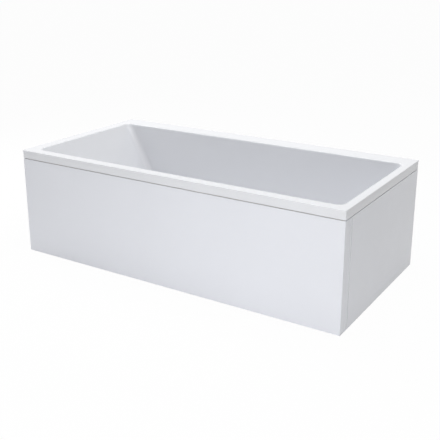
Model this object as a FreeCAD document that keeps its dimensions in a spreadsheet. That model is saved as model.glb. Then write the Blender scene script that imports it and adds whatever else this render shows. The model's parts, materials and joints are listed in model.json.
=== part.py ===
import FreeCAD, Part
import math
import os
import re
import Sketcher

# Alcove bath, 60 by 30 inches. Millimetres, +Z up, origin on the floor under the middle of the bath.
# The front is at -Y, the head (the sloping backrest) at -X and the foot (waste and overflow) at +X.

SIZES = {
    # the whole bath and its rim
    "bath_length": 1524,
    "bath_width": 762,
    "bath_height": 470,
    "rim_front": 46,
    "rim_back": 92,
    "rim_head": 55,
    "rim_foot": 35,
    "rim_drop": 36,
    "rim_overhang": 1.5,
    "rim_corner": 4,
    "rim_round": 2,
    "shell_wall": 5,
    # the basin
    "basin_depth": 350,
    "head_slope": 31,
    "foot_slope": 7,
    "side_slope": 4,
    "basin_corner": 30,
    "floor_round": 28,
    "opening_round": 6,
    # board under the basin and timber under the rim
    "board_thickness": 16,
    "board_margin": 6,
    "batten_height": 60,
    "front_batten_width": 25,
    "back_batten_width": 60,
    "head_batten_width": 30,
    "foot_batten_width": 15,
    "batten_joint": 0.3,
    "notch_height": 35,
    "notch_width": 84,
    # welded frame of square tube
    "frame_tube": 25,
    "frame_wall": 2,
    "post_tube": 20,
    "post_wall": 1.5,
    "cross_inset": 60,
    # levelling legs
    "leg_inset": 122,
    "leg_radius": 5,
    "leg_spare": 22,
    "leg_chamfer": 1,
    "leg_hole_clearance": 0.8,
    "thread_clearance": 0.06,
    "nut_radius": 9.8,
    "nut_height": 8,
    "pad_radius": 16,
    "pad_rim": 5,
    "pad_hub_radius": 9,
    "pad_height": 18,
    "pad_socket": 9,
    # screws that hold the board
    "screw_radius": 2,
    "screw_head_radius": 4.5,
    "screw_head": 2.5,
    "screw_bite": 11,
    "screw_spacing": 180,
    "screw_hole_clearance": 0.5,
    "fit_clearance": 0.05,
    # panels
    "panel_thickness": 5,
    "panel_return": 34,
    "panel_seam": 2.5,
    "panel_floor_gap": 2,
    "panel_joint": 0.8,
    "panel_corner": 3,
    "strip_width": 25,
    "strip_wall": 1.5,
    "stiffener_width": 70,
    "stiffener_thickness": 12,
    "stiffener_end_gap": 22,
    "front_stiffener_x": 310,
    "end_stiffener_y": 150,
    # magnetic catches
    "magnet_thickness": 4,
    "magnet_radius": 8,
    "strike_thickness": 1.5,
    "strike_radius": 9,
    "magnet_inset": 12,
    "front_catch_x": 600,
    "end_catch_y": 250,
    # wall brackets
    "bracket_x": 400,
    "bracket_width": 40,
    "bracket_plate": 3,
    "bracket_drop": 62,
    "bracket_reach": 52,
    "bracket_hole_radius": 3.25,
    "bracket_hole_drop": 38,
    "bracket_screw_y": 26,
    # waste
    "waste_setback": 120,
    "waste_board_gap": 75,
    "waste_hole_radius": 24,
    "waste_seal": 1.5,
    "waste_seal_radius": 33,
    "waste_flange_radius": 35,
    "waste_flange": 3,
    "waste_recess": 1.5,
    "waste_recess_radius": 28,
    "waste_stem_radius": 22,
    "waste_bore_radius": 19,
    "waste_stem_reach": 6,
    "guide_drop": 18,
    "guide_height": 8,
    "guide_radius": 6,
    "guide_clearance": 0.06,
    "spoke_thickness": 2.4,
    "under_seal": 3,
    "collar_height": 6,
    "neck_radius": 27,
    "neck_drop": 36,
    "chamber_radius": 20,
    "dip_radius": 19,
    "dip_bore_radius": 17,
    "dip_floor_gap": 12,
    "port_drop": 19,
    "port_radius": 12.5,
    "port_reach": 52,
    "port_socket": 14,
    # shallow trap
    "trap_radius": 40,
    "trap_wall": 2.5,
    "trap_floor_gap": 6,
    "trap_neck_bore": 21,
    "trap_neck": 4,
    "trap_seal": 2,
    "trap_nut_radius": 33,
    "trap_nut_height": 10,
    "outlet_radius": 20,
    "outlet_wall": 2,
    "outlet_reach": 120,
    "outlet_hub_radius": 23,
    "outlet_hub_reach": 45,
    "outlet_below_top": 24,
    # plug
    "plug_radius": 27,
    "plug_height": 4.5,
    "plug_round": 2,
    "plug_seal": 1.5,
    "plug_seal_radius": 25,
    "plug_seal_bore": 12,
    "plug_stem_radius": 3,
    "plug_stem_tail": 12,
    "plug_socket": 2.5,
    # overflow
    "overflow_drop": 80,
    "overflow_hole_radius": 25,
    "overflow_seal": 3,
    "overflow_seal_radius": 32,
    "overflow_cup_radius": 27,
    "overflow_cup_depth": 24,
    "overflow_wall": 2.5,
    "faceplate_radius": 34,
    "faceplate": 3,
    "faceplate_hole_radius": 6,
    "faceplate_hole_circle": 17,
    "faceplate_hub_radius": 8,
    "faceplate_hub_reach": 6,
    "spindle_radius": 4,
    "crank_radius": 9,
    "crank_thickness": 5,
    "knob_radius": 36,
    "knob_thickness": 13,
    "knob_gap": 5,
    "knob_hub_radius": 10,
    "knob_running_gap": 0.3,
    "knob_round": 3,
    "grip_radius": 30,
    "grip_depth": 8,
    "overflow_screw_y": 20,
    "overflow_screw_radius": 1.8,
    "overflow_screw_head": 1.6,
    "overflow_screw_head_radius": 3.2,
    "overflow_screw_length": 25,
    "overflow_boss_radius": 4,
    "overflow_boss_inset": 6,
    # pipe and cable between the overflow and the waste
    "pipe_radius": 11,
    "pipe_wall": 1.5,
    "pipe_offset": 23,
    "pipe_bend": 45,
    "spigot_radius": 13,
    "spigot_reach": 44,
    "pipe_socket": 12,
    "cable_radius": 2.5,
    "cable_y": 18,
    "gland_radius": 4.5,
    "gland_reach": 34,
    "gland_socket": 8,
}

# Places worked out from the sizes, written once as formulas.
OPEN_X = "((rim_head - rim_foot) / 2)"
OPEN_Y = "((rim_front - rim_back) / 2)"
OPEN_LENGTH = "(bath_length - rim_head - rim_foot)"
OPEN_WIDTH = "(bath_width - rim_front - rim_back)"
FACE_X = "(bath_length / 2 - rim_overhang)"
FACE_Y = "(bath_width / 2 - rim_overhang)"
PANEL_BACK_X = f"({FACE_X} - panel_thickness)"
PANEL_BACK_Y = f"({FACE_Y} - panel_thickness)"
FRAME_X = f"({PANEL_BACK_X} - strike_thickness - magnet_thickness)"
FRAME_Y = f"({PANEL_BACK_Y} - strike_thickness - magnet_thickness)"
FLOOR_Z = "(bath_height - basin_depth)"
FLOOR_HEAD_X = "(rim_head - bath_length / 2 + basin_depth * tan(head_slope))"
FLOOR_FOOT_X = "(bath_length / 2 - rim_foot - basin_depth * tan(foot_slope))"
FLOOR_WIDTH = f"({OPEN_WIDTH} - 2 * basin_depth * tan(side_slope))"
BOARD_Z = f"({FLOOR_Z} - shell_wall)"
RAIL_TOP = f"({BOARD_Z} - board_thickness)"
RAIL_LOW = f"({RAIL_TOP} - frame_tube)"
BATTEN_TOP = "(bath_height - shell_wall)"
BATTEN_LOW = f"({BATTEN_TOP} - batten_height)"
PANEL_TOP = "(bath_height - rim_drop - panel_seam)"
LEG_X = "(bath_length / 2 - leg_inset)"
LEG_Y = f"({FRAME_Y} - frame_tube / 2)"
WASTE_X = f"({FLOOR_FOOT_X} - waste_setback)"
BOARD_HEAD_X = f"({FLOOR_HEAD_X} + floor_round + board_margin)"
BOARD_FOOT_X = f"({WASTE_X} - waste_board_gap)"
BOARD_HALF = f"({FLOOR_WIDTH} / 2 - floor_round - board_margin)"
STRIP_FRONT_Y = f"(panel_return + panel_joint - {FACE_Y})"
STRIP_BACK_Y = f"({STRIP_FRONT_Y} + strip_width)"
COLLAR_TOP = f"({BOARD_Z} - under_seal)"
NECK_LOW = f"({COLLAR_TOP} - neck_drop)"
PORT_Z = f"({COLLAR_TOP} - port_drop)"
TRAP_NECK_TOP = f"({NECK_LOW} - trap_seal)"
TRAP_TOP = f"({TRAP_NECK_TOP} - trap_neck)"
OUTLET_Z = f"({TRAP_TOP} - outlet_below_top)"
FLANGE_LOW = f"({FLOOR_Z} + waste_seal)"
FLANGE_TOP = f"({FLANGE_LOW} + waste_flange)"
PLUG_SEAT = f"({FLANGE_TOP} - waste_recess)"
GUIDE_LOW = f"({FLANGE_TOP} - guide_drop)"
WALL_X = "(shell_wall * cos(foot_slope))"
OVERFLOW_Z = "(bath_height - overflow_drop)"
OVERFLOW_X = "(bath_length / 2 - rim_foot - overflow_drop * tan(foot_slope))"
CUP_X = f"({WALL_X} + overflow_seal)"

doc = FreeCAD.newDocument("AlcoveBath")
sheet = doc.addObject("Spreadsheet::Sheet", "Sizes")
for row, (alias, size) in enumerate(SIZES.items(), 1):
    sheet.set(f"A{row}", alias)
    sheet.set(f"B{row}", str(size))
    sheet.setAlias(f"B{row}", alias)
doc.recompute()

pieces = []


def linked(formula):
    """The formula with each size name pointing at its cell in the sheet."""
    return re.sub(r"[a-z_]+", lambda word: "Sizes." + word[0] if word[0] in SIZES else word[0], formula)


def number(formula):
    """The formula's value at the present sizes."""
    return float(sheet.evalExpression(linked(formula)))


def bind(item, **formulas):
    """Ties properties to formulas; a double underscore stands for the dot in a property's path."""
    for path, formula in formulas.items():
        item.setExpression(path.replace("__", "."), linked(formula))


def place(item, x="0", y="0", z="0"):
    bind(item, Placement__Base__x=x, Placement__Base__y=y, Placement__Base__z=z)


def lean_with_foot_wall(item):
    """Puts a piece modelled about its own X axis square on the sloping foot wall, at the overflow hole."""
    item.Placement.Rotation = FreeCAD.Rotation(FreeCAD.Vector(0, 1, 0), number("foot_slope"))
    bind(item, Placement__Rotation__Angle="foot_slope")
    place(item, OVERFLOW_X, OPEN_Y, OVERFLOW_Z)


def keep(item, name):
    """Makes the item one of the bath's pieces."""
    item.Label = name
    pieces.append(item)
    return item


# ---------------------------------------------------------------- solids from plain shapes


def block(name, x, y, z):
    """A box between the low and high formulas of each axis."""
    box = doc.addObject("Part::Box", name)
    bind(box, Length=f"({x[1]}) - ({x[0]})", Width=f"({y[1]}) - ({y[0]})", Height=f"({z[1]}) - ({z[0]})")
    place(box, x[0], y[0], z[0])
    return box


def rod(name, radius, length, x="0", y="0", z="0", along=(0, 0, 1)):
    """A round bar that starts at a point and runs along a direction."""
    bar = doc.addObject("Part::Cylinder", name)
    bar.Placement.Rotation = FreeCAD.Rotation(FreeCAD.Vector(0, 0, 1), FreeCAD.Vector(*along))
    bind(bar, Radius=radius, Height=length)
    place(bar, x, y, z)
    return bar


def group(name, members):
    gathered = doc.addObject("Part::Compound", name)
    gathered.Links = members
    return gathered


def joined(name, members):
    fused = doc.addObject("Part::MultiFuse", name)
    fused.Shapes = members
    return fused


def without(name, base, tools):
    """The base with the tools cut out of it."""
    remainder = doc.addObject("Part::Cut", name)
    remainder.Base = base
    remainder.Tool = tools[0] if len(tools) == 1 else group(name + "_cutters", tools)
    return remainder


def box_tube(name, x, y, z, wall, open_axis):
    """A square tube, open at both ends along one axis."""
    inner = []
    for axis, (low, high) in enumerate((x, y, z)):
        inner.append((low, high) if axis == open_axis else (f"({low}) + {wall}", f"({high}) - {wall}"))
    return without(name, block(name + "_outside", x, y, z), [block(name + "_inside", *inner)])


def screw(name, x, y, z, along, shank, length, head, head_height):
    """A screw whose head sits on the point and whose shank runs along the direction from there."""
    backwards = tuple(-part for part in along)
    return joined(name, [
        rod(name + "_shank", shank, length, x, y, z, along),
        rod(name + "_head", head, head_height, x, y, z, backwards),
    ])


# ---------------------------------------------------------------- solids from sketches


def new_body(name):
    return keep(doc.addObject("PartDesign::Body", name), name)


def new_sketch(body, name, plane="XY_Plane", x="0", y="0", away="0"):
    """A sketch on one of the body's own planes, moved within the plane and away from it."""
    sketch = body.newObject("Sketcher::SketchObject", name)
    support = next(item for item in body.Origin.OriginFeatures if item.Role == plane)
    sketch.AttachmentSupport = [(support, "")]
    sketch.MapMode = "FlatFace"
    bind(sketch, AttachmentOffset__Base__x=x, AttachmentOffset__Base__y=y, AttachmentOffset__Base__z=away)
    return sketch


def measure(sketch, kind, *target, formula):
    """A sketch dimension that follows a formula."""
    index = sketch.addConstraint(Sketcher.Constraint(kind, *target, number(formula)))
    sketch.setExpression(f"Constraints[{index}]", linked(formula))


def pin(sketch, item, point, x, y):
    """Holds a point of the sketch at two formulas from the sketch's origin."""
    measure(sketch, "DistanceX", -1, 1, item, point, formula=x)
    measure(sketch, "DistanceY", -1, 1, item, point, formula=y)


def outline(sketch, points):
    """A closed outline of straight lines through points."""
    first = sketch.GeometryCount
    corners = [FreeCAD.Vector(number(x), number(y), 0) for x, y in points]
    count = len(corners)
    for index in range(count):
        sketch.addGeometry(Part.LineSegment(corners[index], corners[(index + 1) % count]), False)
    for index in range(count):
        after = first + (index + 1) % count
        sketch.addConstraint(Sketcher.Constraint("Coincident", first + index, 2, after, 1))
    for index, (x, y) in enumerate(points):
        pin(sketch, first + index, 1, x, y)


def circle(sketch, radius, x="0", y="0"):
    centre = FreeCAD.Vector(number(x), number(y), 0)
    item = sketch.addGeometry(Part.Circle(centre, FreeCAD.Vector(0, 0, 1), number(radius)), False)
    measure(sketch, "Radius", item, formula=radius)
    pin(sketch, item, 3, x, y)


def rounded_rectangle(sketch, length, width, radius):
    """A rectangle about the sketch's origin with four equal round corners."""
    first = sketch.GeometryCount
    right = number(length) / 2
    top = number(width) / 2
    round_radius = number(radius)
    quarter = math.pi / 2
    corners = []
    for index, (across, up) in enumerate(((1, -1), (1, 1), (-1, 1), (-1, -1))):
        centre = FreeCAD.Vector(across * (right - round_radius), up * (top - round_radius), 0)
        whole = Part.Circle(centre, FreeCAD.Vector(0, 0, 1), round_radius)
        start = (index - 1) * quarter
        corners.append(Part.ArcOfCircle(whole, start, start + quarter))
    for index, corner in enumerate(corners):
        after = corners[(index + 1) % 4]
        sketch.addGeometry(corner, False)
        sketch.addGeometry(Part.LineSegment(corner.EndPoint, after.StartPoint), False)
    for index in range(8):
        after = first + (index + 1) % 8
        sketch.addConstraint(Sketcher.Constraint("Tangent", first + index, 2, after, 1))
    for index in (2, 4, 6):
        sketch.addConstraint(Sketcher.Constraint("Equal", first, first + index))
    for index, kind in ((1, "Vertical"), (3, "Horizontal"), (5, "Vertical"), (7, "Horizontal")):
        sketch.addConstraint(Sketcher.Constraint(kind, first + index))
    measure(sketch, "Radius", first, formula=radius)
    measure(sketch, "DistanceX", -1, 1, first + 1, 1, formula=f"{length} / 2")
    measure(sketch, "DistanceY", -1, 1, first + 3, 1, formula=f"{width} / 2")
    measure(sketch, "DistanceX", -1, 1, first + 5, 1, formula=f"-{length} / 2")
    measure(sketch, "DistanceY", -1, 1, first + 7, 1, formula=f"-{width} / 2")


def extruded(body, sketch, length, kind="Pad", backwards=False):
    """A pad or a pocket of a sketch."""
    feature = body.newObject("PartDesign::" + kind, sketch.Name + "_" + kind.lower())
    feature.Profile = sketch
    bind(feature, Length=length)
    feature.Reversed = backwards
    return feature


def turned(body, sketch, axis="V_Axis"):
    """A full turn of a sketch about one of its own axes."""
    feature = body.newObject("PartDesign::Revolution", sketch.Name + "_turn")
    feature.Profile = sketch
    feature.ReferenceAxis = (sketch, [axis])
    feature.Angle = 360
    return feature


def lofted(body, sections):
    """A solid with flat sides from one sketched section to the next."""
    feature = body.newObject("PartDesign::AdditiveLoft", sections[0].Name + "_loft")
    feature.Profile = sections[0]
    feature.Sections = [(section, [""]) for section in sections[1:]]
    feature.Ruled = True
    return feature


def rounded(body, name, base, radius, chosen):
    """Rounds the chosen edges of a feature."""
    doc.recompute()
    names = [f"Edge{index}" for index, edge in enumerate(base.Shape.Edges, 1) if chosen(edge)]
    feature = body.newObject("PartDesign::Fillet", name)
    feature.Base = (base, names)
    bind(feature, Radius=radius)
    return feature


def outside_opening(edge):
    """How far the middle of an edge's box lies outside the basin's opening, in plan."""
    centre = edge.BoundBox.Center
    across = abs(centre.x - number(OPEN_X)) - number(OPEN_LENGTH) / 2
    along = abs(centre.y - number(OPEN_Y)) - number(OPEN_WIDTH) / 2
    return max(across, along)


def level_at(height, within=None, beyond=None):
    """Picks level edges at a height, all of them or only those near or well outside the opening."""
    def picks(edge):
        box = edge.BoundBox
        if abs(box.ZMin - height) > 0.01 or abs(box.ZMax - height) > 0.01:
            return False
        if within is not None:
            return outside_opening(edge) < within
        return beyond is None or outside_opening(edge) > number(beyond) + 1
    return picks


def rises_from(height):
    """Picks the edges that start at a height and rise from it."""
    def picks(edge):
        box = edge.BoundBox
        return abs(box.ZMin - height) < 0.01 and box.ZMax - height > 1
    return picks


# ---------------------------------------------------------------- the shell


def basin_section(body, name, depth, grow):
    """The basin's plan at a depth below the rim, grown outwards by a wall."""
    head_run = f"({depth} * tan(head_slope))"
    foot_run = f"({depth} * tan(foot_slope))"
    side_run = f"({depth} * tan(side_slope))"
    sketch = new_sketch(
        body, name,
        x=f"{OPEN_X} + ({head_run} - {foot_run}) / 2", y=OPEN_Y,
        away=f"bath_height - {depth}")
    half_x = f"({OPEN_LENGTH} - {head_run} - {foot_run} + 2 * {grow}) / 2"
    half_y = f"({OPEN_WIDTH} - 2 * {side_run} + 2 * {grow}) / 2"
    outline(sketch, [
        (f"-{half_x}", f"-{half_y}"), (half_x, f"-{half_y}"), (half_x, half_y), (f"-{half_x}", half_y)])
    return sketch


def basin_space():
    """The space inside the basin, as a solid to be cut out of the shell."""
    body = doc.addObject("PartDesign::Body", "basin_space")
    space = lofted(body, [
        basin_section(body, "space_top", "0", "0"),
        basin_section(body, "space_floor", "basin_depth", "0"),
    ])
    space = rounded(body, "space_corners", space, "basin_corner", rises_from(number(FLOOR_Z)))
    rounded(body, "space_round", space, "floor_round", level_at(number(FLOOR_Z)))
    return body


def bath_shell():
    """Acrylic basin, rim and turned-down edge in one moulding."""
    body = new_body("bath_shell")
    rim = new_sketch(body, "rim_outline", away=BATTEN_TOP)
    rounded_rectangle(rim, "bath_length", "bath_width", "rim_corner")
    extruded(body, rim, "shell_wall")
    skirt = new_sketch(body, "skirt_outline", away="bath_height - rim_drop")
    rounded_rectangle(skirt, f"(2 * {FACE_X})", f"(2 * {FACE_Y})", "rim_corner")
    rounded_rectangle(skirt, f"(2 * {PANEL_BACK_X})", f"(2 * {PANEL_BACK_Y})", "rim_round")
    extruded(body, skirt, "rim_drop - shell_wall")
    outside = lofted(body, [
        basin_section(body, "outside_top", "0", "shell_wall"),
        basin_section(body, "outside_floor", "(basin_depth + shell_wall)", "shell_wall"),
    ])
    low = number(BOARD_Z)
    outside = rounded(body, "outside_corners", outside, "basin_corner + shell_wall", rises_from(low))
    rounded(body, "outside_round", outside, "floor_round + shell_wall", level_at(low))
    doc.recompute()
    inside = body.newObject("PartDesign::Boolean", "basin_cut")
    inside.Type = "Cut"
    inside.setObjects([basin_space()])
    top = number("bath_height")
    inside = rounded(body, "opening_edge", inside, "opening_round", level_at(top, within=1))
    rounded(body, "rim_edge", inside, "rim_round", level_at(top, beyond="opening_round"))
    waste = new_sketch(body, "waste_hole", x=WASTE_X, y=OPEN_Y, away=FLOOR_Z)
    circle(waste, "waste_hole_radius")
    extruded(body, waste, "2 * shell_wall", "Pocket")
    overflow = new_sketch(body, "overflow_hole", "YZ_Plane", x=OPEN_Y, y=OVERFLOW_Z, away=OVERFLOW_X)
    overflow.AttachmentOffset.Rotation = FreeCAD.Rotation(FreeCAD.Vector(1, 0, 0), number("foot_slope"))
    bind(overflow, AttachmentOffset__Rotation__Angle="foot_slope")
    circle(overflow, "overflow_hole_radius")
    extruded(body, overflow, "2 * shell_wall", "Pocket", backwards=True)


# ---------------------------------------------------------------- board, timber and frame

ENDS = {"head": -1, "foot": 1}
SIDES = {"front": -1, "back": 1}
ALONG_X = 0
ALONG_Y = 1
ALONG_Z = 2


def mirrored(side, inner, outer):
    """The low and high formulas of a stretch on the minus or the plus side of the middle."""
    return (inner, outer) if side > 0 else (f"-{outer}", f"-{inner}")


def cross_places():
    """The middles of the three cross rails under the board, by name."""
    head = f"({BOARD_HEAD_X} + cross_inset)"
    foot = f"({BOARD_FOOT_X} - cross_inset)"
    return {"head": head, "middle": f"(({head} + {foot}) / 2)", "foot": foot}


def board_screw_places():
    return [(x, f"{OPEN_Y} + {side} * screw_spacing") for x in cross_places().values() for side in (-1, 1)]


def base_board():
    """Board bonded under the basin's floor, with pilot holes for the screws of the cross rails."""
    board = block(
        "board_blank", (BOARD_HEAD_X, BOARD_FOOT_X),
        (f"{OPEN_Y} - {BOARD_HALF}", f"{OPEN_Y} + {BOARD_HALF}"), (RAIL_TOP, BOARD_Z))
    pilots = [
        rod(f"board_pilot_{index}", "screw_radius + fit_clearance", "screw_bite + 1", x, y, RAIL_TOP)
        for index, (x, y) in enumerate(board_screw_places())]
    keep(without("base_board", board, pilots), "base_board")


def rim_battens():
    """Four timbers under the rim; the one at the foot is notched round the overflow."""
    length = (f"-{FRAME_X}", FRAME_X)
    height = (BATTEN_LOW, BATTEN_TOP)
    between = (
        f"front_batten_width + batten_joint - {FRAME_Y}",
        f"{FRAME_Y} - back_batten_width - batten_joint")
    front = block("front_batten", length, (f"-{FRAME_Y}", f"front_batten_width - {FRAME_Y}"), height)
    keep(front, "rim_batten_front")
    back = block("back_batten", length, (f"{FRAME_Y} - back_batten_width", FRAME_Y), height)
    pilots = [
        rod(f"batten_pilot_{index}", "screw_radius + fit_clearance", "screw_bite + 1",
            f"{side} * bracket_x", "bath_width / 2 - bracket_screw_y", BATTEN_LOW)
        for index, side in enumerate((-1, 1))]
    keep(without("back_batten_drilled", back, pilots), "rim_batten_back")
    head = block("head_batten", (f"-{FRAME_X}", f"head_batten_width - {FRAME_X}"), between, height)
    keep(head, "rim_batten_head")
    foot_x = (f"{FRAME_X} - foot_batten_width", FRAME_X)
    foot = block("foot_batten", foot_x, between, height)
    notch = block(
        "overflow_notch", (f"{foot_x[0]} - 1", f"{FRAME_X} + 1"),
        (f"{OPEN_Y} - notch_width / 2", f"{OPEN_Y} + notch_width / 2"),
        (f"{BATTEN_LOW} - 1", f"{BATTEN_LOW} + notch_height"))
    keep(without("foot_batten_notched", foot, [notch]), "rim_batten_foot")


def frame():
    """Base frame of square tube with a post at each corner."""
    height = (RAIL_LOW, RAIL_TOP)
    inside_y = (f"frame_tube - {FRAME_Y}", f"{FRAME_Y} - frame_tube")
    for side_name, side in SIDES.items():
        name = f"frame_rail_{side_name}"
        y = mirrored(side, f"({FRAME_Y} - frame_tube)", FRAME_Y)
        tube = box_tube(name + "_tube", (f"-{FRAME_X}", FRAME_X), y, height, "frame_wall", ALONG_X)
        holes = [
            rod(f"{name}_hole_{end_name}", "leg_radius + leg_hole_clearance", "frame_tube + 2",
                f"{end} * {LEG_X}", f"{side} * {LEG_Y}", f"{RAIL_LOW} - 1")
            for end_name, end in ENDS.items()]
        keep(without(name, tube, holes), name)
    for end_name, end in ENDS.items():
        name = f"frame_rail_{end_name}"
        x = mirrored(end, f"({FRAME_X} - frame_tube)", FRAME_X)
        keep(box_tube(name, x, inside_y, height, "frame_wall", ALONG_Y), name)
    for place_name, x in cross_places().items():
        name = f"frame_cross_{place_name}"
        tube = box_tube(
            name + "_tube", (f"{x} - frame_tube / 2", f"{x} + frame_tube / 2"), inside_y, height,
            "frame_wall", ALONG_Y)
        holes = [
            rod(f"{name}_hole_{index}", "screw_radius + screw_hole_clearance", "frame_tube + 2",
                x, f"{OPEN_Y} + {side} * screw_spacing", f"{RAIL_LOW} - 1")
            for index, side in enumerate((-1, 1))]
        keep(without(name, tube, holes), name)
    for side_name, side in SIDES.items():
        for end_name, end in ENDS.items():
            name = f"frame_post_{side_name}_{end_name}"
            x = mirrored(end, f"({FRAME_X} - post_tube)", FRAME_X)
            y = mirrored(side, f"({LEG_Y} - post_tube / 2)", f"({LEG_Y} + post_tube / 2)")
            keep(box_tube(name, x, y, (RAIL_TOP, BATTEN_LOW), "post_wall", ALONG_Z), name)


def board_screws():
    """Screws up through the cross rails into the board."""
    screws = [
        screw(f"board_screw_{index}", x, y, RAIL_LOW, (0, 0, 1), "screw_radius", "frame_tube + screw_bite",
              "screw_head_radius", "screw_head")
        for index, (x, y) in enumerate(board_screw_places())]
    keep(group("board_screws", screws), "board_screws")


def leg_nuts():
    """A nut above and below the rail at each leg."""
    nuts = []
    for side_name, side in SIDES.items():
        for end_name, end in ENDS.items():
            for level, z in (("upper", RAIL_TOP), ("lower", f"{RAIL_LOW} - nut_height")):
                name = f"nut_{side_name}_{end_name}_{level}"
                blank = doc.addObject("Part::Prism", name + "_blank")
                blank.Polygon = 6
                bind(blank, Circumradius="nut_radius", Height="nut_height")
                place(blank, f"{end} * {LEG_X}", f"{side} * {LEG_Y}", z)
                bore = rod(name + "_bore", "leg_radius + thread_clearance", "nut_height + 2",
                           f"{end} * {LEG_X}", f"{side} * {LEG_Y}", f"{z} - 1")
                nuts.append(without(name, blank, [bore]))
    keep(group("leg_nuts", nuts), "leg_nuts")


def levelling_leg(side_name, end_name):
    """A threaded rod standing in the socket of a round pad."""
    x = f"{ENDS[end_name]} * {LEG_X}"
    y = f"{SIDES[side_name]} * {LEG_Y}"
    socket_floor = "(pad_height - pad_socket)"
    rod_top = f"({RAIL_TOP} + nut_height + leg_spare)"
    leg = new_body(f"leg_rod_{side_name}_{end_name}")
    profile = new_sketch(leg, leg.Name + "_profile", "XZ_Plane")
    outline(profile, [
        ("0", socket_floor), ("leg_radius", socket_floor), ("leg_radius", f"{rod_top} - leg_chamfer"),
        ("leg_radius - leg_chamfer", rod_top), ("0", rod_top)])
    turned(leg, profile)
    place(leg, x, y)
    pad = new_body(f"foot_pad_{side_name}_{end_name}")
    profile = new_sketch(pad, pad.Name + "_profile", "XZ_Plane")
    outline(profile, [
        ("0", "0"), ("pad_radius", "0"), ("pad_radius", "pad_rim"), ("pad_hub_radius", "pad_socket"),
        ("pad_hub_radius", "pad_height"), ("leg_radius + fit_clearance", "pad_height"),
        ("leg_radius + fit_clearance", socket_floor), ("0", socket_floor)])
    turned(pad, profile)
    place(pad, x, y)


# ---------------------------------------------------------------- panels


def front_panel():
    """Long panel with a return at each end, flush with the turned-down edge of the rim."""
    body = new_body("front_panel")
    plan = new_sketch(body, "front_panel_plan", away="panel_floor_gap")
    return_y = f"(panel_return - {FACE_Y})"
    outline(plan, [
        (f"-{FACE_X}", f"-{FACE_Y}"), (FACE_X, f"-{FACE_Y}"), (FACE_X, return_y), (PANEL_BACK_X, return_y),
        (PANEL_BACK_X, f"-{PANEL_BACK_Y}"), (f"-{PANEL_BACK_X}", f"-{PANEL_BACK_Y}"),
        (f"-{PANEL_BACK_X}", return_y), (f"-{FACE_X}", return_y)])
    sheet_pad = extruded(body, plan, f"{PANEL_TOP} - panel_floor_gap")
    corner_y = -number(FACE_Y)
    rounded(body, "front_panel_corners", sheet_pad, "panel_corner",
            lambda edge: edge.BoundBox.ZLength > 1 and abs(edge.BoundBox.YMin - corner_y) < 0.01)
    stiffeners = []
    for index, side in enumerate((-1, 1)):
        middle = f"{side} * front_stiffener_x"
        stiffeners.append(block(
            f"front_stiffener_{index}",
            (f"{middle} - stiffener_width / 2", f"{middle} + stiffener_width / 2"),
            (f"-{PANEL_BACK_Y}", f"stiffener_thickness - {PANEL_BACK_Y}"),
            (f"{RAIL_TOP} + stiffener_end_gap", f"{BATTEN_LOW} - stiffener_end_gap")))
    keep(group("front_panel_stiffeners", stiffeners), "front_panel_stiffeners")


def end_panel():
    """Panel at the foot, with a return along the wall."""
    body = new_body("end_panel")
    plan = new_sketch(body, "end_panel_plan", away="panel_floor_gap")
    front_y = f"({STRIP_BACK_Y} + panel_joint)"
    return_x = f"({FACE_X} - panel_return)"
    outline(plan, [
        (PANEL_BACK_X, front_y), (FACE_X, front_y), (FACE_X, FACE_Y), (return_x, FACE_Y),
        (return_x, PANEL_BACK_Y), (PANEL_BACK_X, PANEL_BACK_Y)])
    sheet_pad = extruded(body, plan, f"{PANEL_TOP} - panel_floor_gap")
    rounded(body, "end_panel_corner", sheet_pad, "panel_corner",
            lambda edge: edge.BoundBox.ZLength > 1 and edge.BoundBox.XMin > number(FACE_X) - 0.01
            and edge.BoundBox.YMin > number(FACE_Y) - 0.01)
    stiffener = block(
        "end_stiffener", (f"{PANEL_BACK_X} - stiffener_thickness", PANEL_BACK_X),
        ("end_stiffener_y - stiffener_width / 2", "end_stiffener_y + stiffener_width / 2"),
        (f"{RAIL_TOP} + stiffener_end_gap", f"{BATTEN_LOW} - stiffener_end_gap"))
    keep(stiffener, "end_panel_stiffener")


def corner_strip():
    """Hollow strip on the frame that fills the joint between the two panels."""
    strip = box_tube("corner_strip", (FRAME_X, FACE_X), (STRIP_FRONT_Y, STRIP_BACK_Y),
                     ("panel_floor_gap", PANEL_TOP), "strip_wall", ALONG_Z)
    keep(strip, "corner_strip")


def panel_catches():
    """Magnets on the frame and steel strike plates on the panels."""
    levels = (f"{RAIL_LOW} + frame_tube / 2", f"{BATTEN_LOW} + magnet_inset")
    front = [(f"{side} * front_catch_x", f"-{FRAME_Y}", z) for side in (-1, 0, 1) for z in levels]
    end = [(FRAME_X, f"{side} * end_catch_y", z) for side in (-1, 1) for z in levels]
    for panel, places, along in (("front", front, (0, -1, 0)), ("end", end, (1, 0, 0))):
        magnets = []
        strikes = []
        for index, (x, y, z) in enumerate(places):
            magnets.append(rod(
                f"magnet_{panel}_{index}", "magnet_radius", "magnet_thickness", x, y, z, along))
            strikes.append(rod(
                f"strike_{panel}_{index}", "strike_radius", "strike_thickness",
                f"{x} + {along[0]} * magnet_thickness", f"{y} + {along[1]} * magnet_thickness", z, along))
        keep(group(f"panel_magnets_{panel}", magnets), f"panel_magnets_{panel}")
        keep(group(f"panel_strikes_{panel}", strikes), f"panel_strikes_{panel}")


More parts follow.
